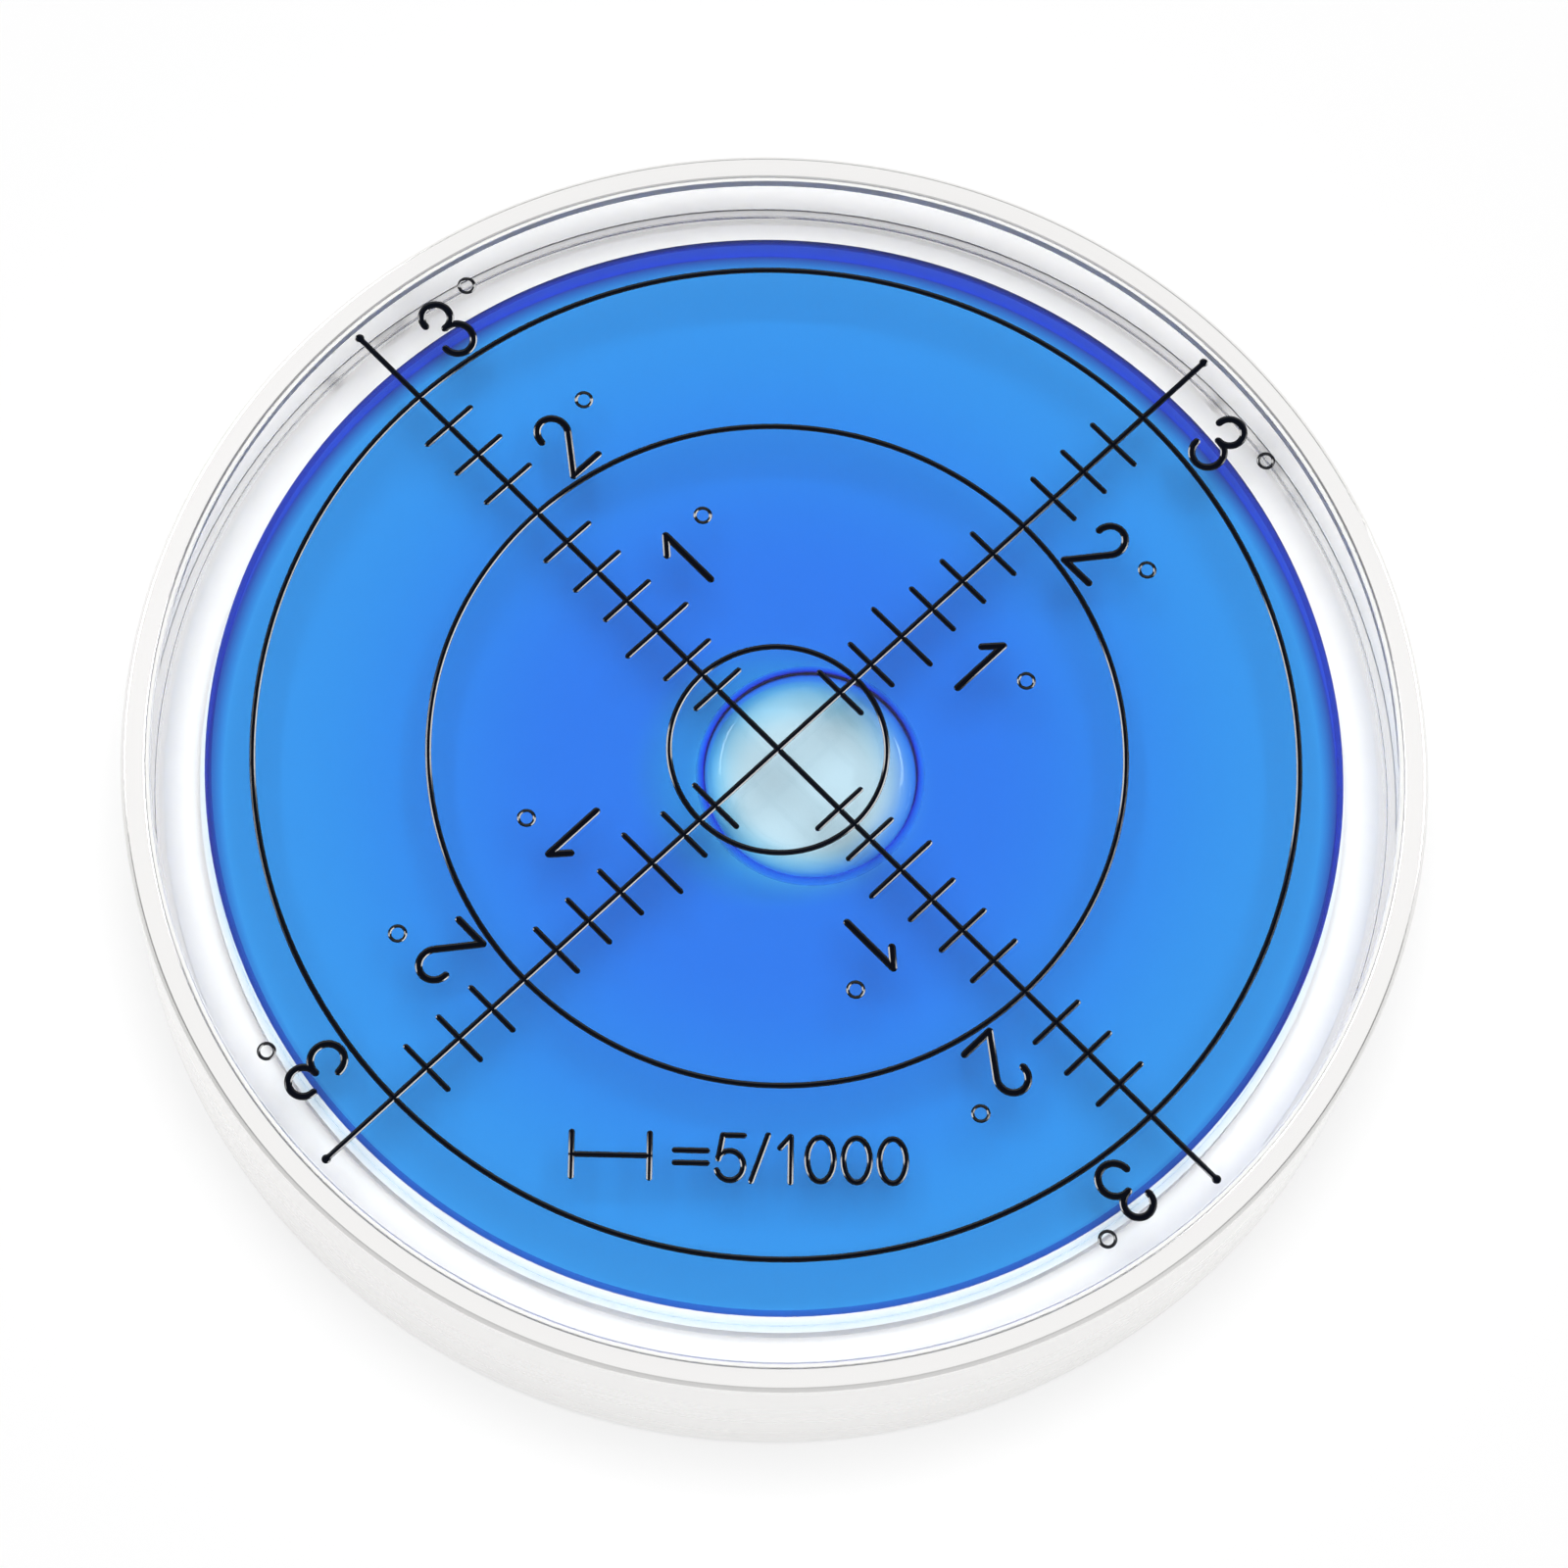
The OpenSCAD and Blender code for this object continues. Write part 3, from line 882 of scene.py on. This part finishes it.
class BUBBLE_LEVEL_OT_case(bpy.types.Operator):
    """Turn the aluminium case, with its cup, its magnet pocket and the vent in its wall"""

    bl_idname = "bubble_level.case"
    bl_label = "Case"

    def execute(self, context):
        sizes, finishes = settings(context)
        edge, rim = outer_radius("case"), top("case")
        cup = outer_radius("vial_lens") + VIAL_GAP
        pocket = outer_radius("magnet") + MAGNET_GAP
        bed, roof = foot("vial_adhesive"), top("magnet_adhesive")
        profile = rounded([
            (0, roof), (pocket, roof), (pocket, 0), (edge - sizes.foot_bevel, 0), (edge, sizes.foot_bevel),
            (edge, rim - sizes.rim_bevel), (edge - sizes.rim_bevel, rim), (cup + sizes.mouth_bevel, rim),
            (cup, rim - sizes.mouth_bevel), (cup, bed), (0, bed)], sizes.edge_round)
        drill = sizes.vent_d / 2
        mouth = edge - sizes.vent_chamfer
        over = sizes.vent_d
        vent = turned_mesh("vent", [
            (0, cup - over), (drill, cup - over), (drill, mouth),
            (drill + sizes.vent_chamfer + over, edge + over), (0, edge + over)], VENT_SIDES)
        vent.transform(Matrix.Translation((0, 0, sizes.vent_z)) @ Matrix.Rotation(-math.pi / 2, 4, "X"))
        mesh = carved("turned_case", turned_mesh("turned_case", profile), [("DIFFERENCE", vent)])
        piece = new_piece("turned_case", mesh, made_of(turned_aluminium, finishes))
        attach(piece, "level_case")
        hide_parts("case")
        return {"FINISHED"}


class BUBBLE_LEVEL_OT_magnet(bpy.types.Operator):
    """Make the plated magnet in the base and finish the film of glue above it"""

    bl_idname = "bubble_level.magnet"
    bl_label = "Magnet"

    def execute(self, context):
        sizes, finishes = settings(context)
        edge, low, high = outer_radius("magnet"), foot("magnet"), top("magnet")
        bevel = sizes.magnet_bevel
        profile = rounded([(0, low), (edge - bevel, low), (edge, low + bevel), (edge, high - bevel),
                           (edge - bevel, high), (0, high)], bevel / 2)
        mesh = turned_mesh("plated_magnet", profile)
        shade(mesh)
        piece = new_piece("plated_magnet", mesh, made_of(nickel_plate, finishes))
        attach(piece, "level_case")
        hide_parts("magnet")
        bpy.data.objects["magnet_adhesive"].data.materials[0] = made_of(cured_epoxy, finishes)
        return {"FINISHED"}


class BUBBLE_LEVEL_OT_seat(bpy.types.Operator):
    """Make the opal plate and the bead of adhesive, and finish the plate's plug and the vial's adhesive"""

    bl_idname = "bubble_level.seat"
    bl_label = "Vial seat"

    def execute(self, context):
        sizes, finishes = settings(context)
        opal = made_of(opal_acrylic, sizes, finishes)
        low, high = foot("vial_plate"), top("vial_plate")
        plug_low, plug_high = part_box("fill_plug")
        plug = (plug_low + plug_high) / 2
        # The cement in the seam of the plug is as white as the plate, so the hole closes on the plug
        shaft = PLUG_SHAFT / 2 - CONTACT
        head = (plug_high.x - plug_low.x) / 2 - CONTACT
        step = low + PLUG_HEAD - CONTACT
        hole = turned_mesh("hole", [(0, 0), (head, 0), (head, step), (shaft, step), (shaft, 2 * high),
                                    (0, 2 * high)], PLUG_SIDES)
        hole.transform(Matrix.Translation((plug.x, plug.y, 0)))
        block = disc("opal_plate", outer_radius("vial_plate"), low, high)
        piece = new_piece("opal_plate", carved("opal_plate", block, [("DIFFERENCE", hole)]), opal)
        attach(piece, "level_case")
        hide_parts("vial_plate")
        adhesive = made_of(white_adhesive, finishes)
        # Adhesive round the vial, which closes the gap to the wall of the cup
        vial = outer_radius("vial_lens")
        level = top("vial_lens") - sizes.bead_depth
        ring = disc("bead", vial + VIAL_GAP + CONTACT, level - sizes.bead_height, level)
        core = disc("core", vial - BOND, 0, 2 * level)
        bead = new_piece("adhesive_bead", carved("adhesive_bead", ring, [("DIFFERENCE", core)]), adhesive)
        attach(bead, "level_case")
        for node, material in (("fill_plug", opal), ("vial_adhesive", adhesive)):
            bpy.data.objects[node].data.materials[0] = material
        return {"FINISHED"}


class BUBBLE_LEVEL_OT_lens(bpy.types.Operator):
    """Make the clear lens with its round chamber, and engrave the scale in its face"""

    bl_idname = "bubble_level.lens"
    bl_label = "Lens"

    def execute(self, context):
        sizes, finishes = settings(context)
        edge, face = outer_radius("vial_lens"), top("vial_lens")
        base = foot("vial_lens") - BOND
        chamber = chamber_radius()
        seat = outer_radius("vial_plate") - CONTACT
        ledge = top("vial_plate") - CONTACT
        bevel = sizes.lens_bevel
        outside = rounded([(seat, base), (edge, base), (edge, face - bevel), (edge - bevel, face), (0, face)],
                          sizes.edge_round)
        # An extra ring of the dome marks where the painted shade of the seam starts
        dome = dome_profile(dome_radius(), chamber - sizes.seep_w) + dome_profile(dome_radius(), chamber)[-1:]
        profile = dome + [(chamber, ledge), (seat, ledge)] + outside
        steps = [("DIFFERENCE", groove(sizes, tool)) for tool in scale_tools(sizes, finishes).values()]
        mesh = carved("engraved_lens", turned_mesh("engraved_lens", profile), steps)
        apex = dome_radius() + dome_centre()
        bending, satin, painted_shade_share = [], [], []
        for polygon in mesh.polygons:
            height, radius = polygon.center.z, polygon.center.xy.length
            wet = height < apex + CONTACT and radius < chamber + CONTACT
            bevelled = height > face - BEVEL_REACH * bevel and radius > edge - bevel
            # Painted shade, full in the chamber's wall and a little less in the seam at its top
            stain = 1.0 if abs(polygon.normal.z) < WALL_SLOPE else SEAM_PAINTED_SHADE
            # The bending is the index within over the index without
            bending.append(ACRYLIC_INDEX / SPIRIT_INDEX if wet else ACRYLIC_INDEX)
            satin.append(SATIN if bevelled else 0.0)
            painted_shade_share.append(stain if wet and radius > chamber - sizes.seep_w else 0.0)
        set_faces(mesh, "bending", bending)
        set_faces(mesh, "satin", satin)
        set_faces(mesh, "painted_shade_share", painted_shade_share)
        piece = new_piece("engraved_lens", mesh, made_of(clear_acrylic, finishes))
        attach(piece, "level_case")
        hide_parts("vial_lens")
        return {"FINISHED"}


class BUBBLE_LEVEL_OT_scale(bpy.types.Operator):
    """Fill the engraved cross, rings, ticks, numbers and legend with black paint"""

    bl_idname = "bubble_level.scale"
    bl_label = "Painted scale"

    def execute(self, context):
        rings = ("bubble_ring", "two_degree_ring", "three_degree_ring")
        cross = ("cross_1", "cross_2", "dots")
        paint_lines(context, "painted_cross", cross, hollows=(*rings, "ticks"), node="cross_lines")
        paint_lines(context, "painted_ticks", ("ticks",), cross, node="division_ticks")
        for ring in rings:
            paint_lines(context, f"painted_{ring}", (ring,), cross, node=ring)
        paint_lines(context, "painted_numbers", ("numbers_0", "numbers_1"))
        paint_lines(context, "painted_degree_signs", ("degrees",))
        paint_lines(context, "painted_legend", ("legend_0", "legend_1"))
        return {"FINISHED"}


class BUBBLE_LEVEL_OT_liquid(bpy.types.Operator):
    """Fill the vial with dyed spirit and the bubble in it"""

    bl_idname = "bubble_level.liquid"
    bl_label = "Liquid and bubble"

    def execute(self, context):
        sizes, finishes = settings(context)
        edge, low = outer_radius("liquid"), foot("liquid")
        roof = dome_profile(dome_radius() - LIQUID_GAP, edge)
        # The foot of the liquid follows the lens, so the bubble stays clear of it wherever it rolls
        floor = [(r, max(low, z)) for r, z in dome_profile(dome_radius() - sizes.dye_depth, edge)]
        outside = turned_mesh("outside", floor + roof[::-1])
        shade(outside)
        cavity = bubble_mesh(sizes, "cavity", BOND / 2)
        cavity.flip_normals()
        mesh = join_meshes("dyed_liquid", (outside, cavity))
        around = len(outside.polygons)
        set_faces(mesh, "bending", [1.0] * around + [SPIRIT_INDEX] * len(cavity.polygons))
        liquid = new_piece("dyed_liquid", mesh, made_of(dyed_spirit, finishes))
        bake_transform(liquid, "vial_liquid", "vial_bubble", start=(0, 0, low), end=(0, 0, top("liquid")))
        follow = [0.0] * len(outside.vertices) + [1.0] * len(cavity.vertices)
        mesh.attributes["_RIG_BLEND"].data.foreach_set("value", follow)
        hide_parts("liquid")
        bubble = new_piece("air_bubble", bubble_mesh(sizes, "air_bubble", 0.0), made_of(trapped_air))
        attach(bubble, "vial_bubble")
        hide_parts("bubble")
        return {"FINISHED"}


# The stage

CAMERA_PLACE = Vector((-9.27, -80.67, 239.7)) * MM
CAMERA_AIM = Vector((0.29, -1.69, 11.0)) * MM
CAMERA_ROLL = math.radians(7.99)
CAMERA_LENS = 121.6

# The surround: the light that matt pieces get, and what shiny ones see in its walls and the wall at the back
SKY = 0.1
WALLS = 0.2
BACK_WALL = 0.6
# Where it changes, as parts of a direction of length 1: the wall at the back, the horizon and the ceiling
BACK_EDGE = (-0.6, -0.1)
HORIZON_EDGE = (0.05, 0.15)
CEILING_WAY = (0, 0.25, 0.97)
CEILING_EDGE = (0.72, 0.85)

FLOOR_SIZE = 3.0
# The floor lies a hair lower than the base, so that the two never show through each other
FLOOR_DROP = 0.01 * MM
# Share of plain white in the floor near the object, and the distances over which it becomes all of it
FLOOR_WHITE = 0.66
FLOOR_FADE = (0.1, 0.35)

# Soft lamps: azimuth, elevation and roll in degrees, width and height in metres, and radiance
LAMP_DISTANCE = 0.8
SIDE_LAMPS = {"left_softbox": (-48, 28, 20, 0.66, 0.16, 10), "right_softbox": (64, 29, -15, 0.34, 0.2, 9)}
OVERHEAD_LAMP = (0, 90, 0, 0.4, 0.4, 13)

MIRRORED = ("Is Glossy Ray", "Is Transmission Ray")


def stage_world():
    """A white surround. Shiny pieces see a bright horizon and ceiling, dim walls and a paler back wall."""
    world = bpy.data.worlds.new("studio")
    bpy.context.scene.world = world
    world.use_nodes = True
    world.node_tree.nodes.clear()
    add = partial(add_node, world.node_tree)
    way = add("ShaderNodeTexCoord").outputs["Generated"]
    axes = add("ShaderNodeSeparateXYZ", {"Vector": way}).outputs
    upward = add("ShaderNodeVectorMath", {0: way, 1: CEILING_WAY}, operation="DOT_PRODUCT")
    wall = add("ShaderNodeMapRange", {
        "Value": axes["Y"], "From Min": BACK_EDGE[0], "From Max": BACK_EDGE[1], "To Min": BACK_WALL,
        "To Max": WALLS})
    fall = add("ShaderNodeMapRange", {
        "Value": axes["Z"], "From Min": HORIZON_EDGE[0], "From Max": HORIZON_EDGE[1], "To Min": 1.0,
        "To Max": wall})
    rise = add("ShaderNodeMapRange", {
        "Value": upward, "From Min": CEILING_EDGE[0], "From Max": CEILING_EDGE[1], "To Min": wall,
        "To Max": 1.0})
    shown = add("ShaderNodeMath", {0: fall, 1: rise}, operation="MAXIMUM")
    soft = add("ShaderNodeMapRange", {"Value": rays(add, *MIRRORED), "To Min": SKY, "To Max": shown})
    strength = add("ShaderNodeMath", {0: soft, 1: rays(add, "Is Camera Ray")}, operation="MAXIMUM")
    shader = add("ShaderNodeBackground", {"Color": WHITE, "Strength": strength})
    add("ShaderNodeOutputWorld", {"Surface": shader})


def studio_floor(add, finishes):
    """A pale floor that shows white and keeps the object's shadow."""
    matt = add("ShaderNodeBsdfDiffuse", {"Color": rgba(finishes.floor)})
    white = add("ShaderNodeEmission", {"Color": WHITE, "Strength": 1.0})
    paler = add("ShaderNodeMapRange", {
        "Value": from_axis(add)[1], "From Min": FLOOR_FADE[0], "From Max": FLOOR_FADE[1],
        "To Min": FLOOR_WHITE, "To Max": 1.0})
    share = add("ShaderNodeMath", {0: rays(add, "Is Camera Ray", *MIRRORED), 1: paler}, operation="MULTIPLY")
    shown = add("ShaderNodeMixShader", {0: share, 1: matt, 2: white})
    # From below the floor is open, so that the underside can be seen
    below = add("ShaderNodeNewGeometry").outputs["Backfacing"]
    mixed = add("ShaderNodeMixShader", {0: below, 1: shown, 2: add("ShaderNodeBsdfTransparent")})
    return {"Surface": mixed}


def stage_floor(finishes):
    """Lays the floor under the object."""
    mesh = bpy.data.meshes.new("studio_floor")
    half = FLOOR_SIZE / 2
    corners = [(x, y, -FLOOR_DROP) for x, y in ((-half, -half), (half, -half), (half, half), (-half, half))]
    mesh.from_pydata(corners, [], [(0, 1, 2, 3)])
    new_piece("studio_floor", mesh, made_of(studio_floor, finishes))


def softbox(name, azimuth, elevation, roll, width, height, radiance):
    """A soft lamp that looks at the object from azimuth, counted clockwise from +Y, and elevation."""
    lamp = bpy.data.lights.new(name, "AREA")
    lamp.shape = "RECTANGLE"
    lamp.size = width
    lamp.size_y = height
    lamp.energy = radiance * math.pi * width * height
    turn, rise = math.radians(azimuth), math.radians(elevation)
    aim = Vector((math.sin(turn) * math.cos(rise), math.cos(turn) * math.cos(rise), math.sin(rise)))
    holder = bpy.data.objects.new(name, lamp)
    holder.location = aim * LAMP_DISTANCE
    level = aim.to_track_quat("Z", "Y").to_matrix()
    holder.rotation_euler = (level @ Matrix.Rotation(math.radians(roll), 3, "Z")).to_euler()
    bpy.context.scene.collection.objects.link(holder)
    return holder


class BUBBLE_LEVEL_OT_stage(bpy.types.Operator):
    """Set up the floor, the soft light and the camera"""

    bl_idname = "bubble_level.stage"
    bl_label = "Stage"

    def execute(self, context):
        scene = context.scene
        stage_world()
        stage_floor(scene.bubble_level_finishes)
        # Low lamps that only shine back from glossy faces: the case's wall would shade the plate from them
        for name, given in SIDE_LAMPS.items():
            softbox(name, *given).visible_diffuse = False
        # A wide lamp overhead that only lights: its own image would lie over the whole face
        overhead = softbox("overhead_softbox", *OVERHEAD_LAMP)
        overhead.visible_glossy = False
        overhead.visible_transmission = False
        overhead.data.cycles.use_multiple_importance_sampling = False
        scene.view_settings.view_transform = "Standard"
        # The clear bodies let lamp light straight through, so refracted light isn't counted a second time
        scene.cycles.caustics_refractive = False
        camera = bpy.data.cameras.new("camera")
        camera.lens = CAMERA_LENS
        holder = bpy.data.objects.new("camera", camera)
        scene.collection.objects.link(holder)
        holder.location = CAMERA_PLACE
        look = (CAMERA_AIM - CAMERA_PLACE).to_track_quat("-Z", "Y")
        holder.rotation_euler = (look.to_matrix() @ Matrix.Rotation(CAMERA_ROLL, 3, "Z")).to_euler()
        scene.camera = holder
        return {"FINISHED"}


class BUBBLE_LEVEL_PT_panel(bpy.types.Panel):
    """The level's pieces and its stage"""

    bl_idname = "BUBBLE_LEVEL_PT_panel"
    bl_label = "Bubble level"
    bl_space_type = "VIEW_3D"
    bl_region_type = "UI"
    bl_category = "Bubble level"

    def draw(self, context):
        for operator in OPERATORS:
            self.layout.operator(operator.bl_idname)
        for group in settings(context):
            column = self.layout.column()
            for name in group.__annotations__:
                column.prop(group, name)


OPERATORS = (BUBBLE_LEVEL_OT_case, BUBBLE_LEVEL_OT_magnet, BUBBLE_LEVEL_OT_seat, BUBBLE_LEVEL_OT_lens,
             BUBBLE_LEVEL_OT_scale, BUBBLE_LEVEL_OT_liquid, BUBBLE_LEVEL_OT_stage)
CLASSES = (BubbleLevelSizes, BubbleLevelFinishes, *OPERATORS, BUBBLE_LEVEL_PT_panel)


def register():
    """Registers the classes and the sizes and colours that they use."""
    for item in CLASSES:
        bpy.utils.register_class(item)
    bpy.types.Scene.bubble_level_sizes = PointerProperty(type=BubbleLevelSizes)
    bpy.types.Scene.bubble_level_finishes = PointerProperty(type=BubbleLevelFinishes)


def unregister():
    """Takes away what register added."""
    del bpy.types.Scene.bubble_level_finishes
    del bpy.types.Scene.bubble_level_sizes
    for item in reversed(CLASSES):
        bpy.utils.unregister_class(item)


def main():
    """Makes every piece and the stage."""
    register()
    bpy.ops.bubble_level.case()
    bpy.ops.bubble_level.magnet()
    bpy.ops.bubble_level.seat()
    bpy.ops.bubble_level.lens()
    bpy.ops.bubble_level.scale()
    bpy.ops.bubble_level.liquid()
    bpy.ops.bubble_level.stage()


if __name__ == "__main__":
    main()
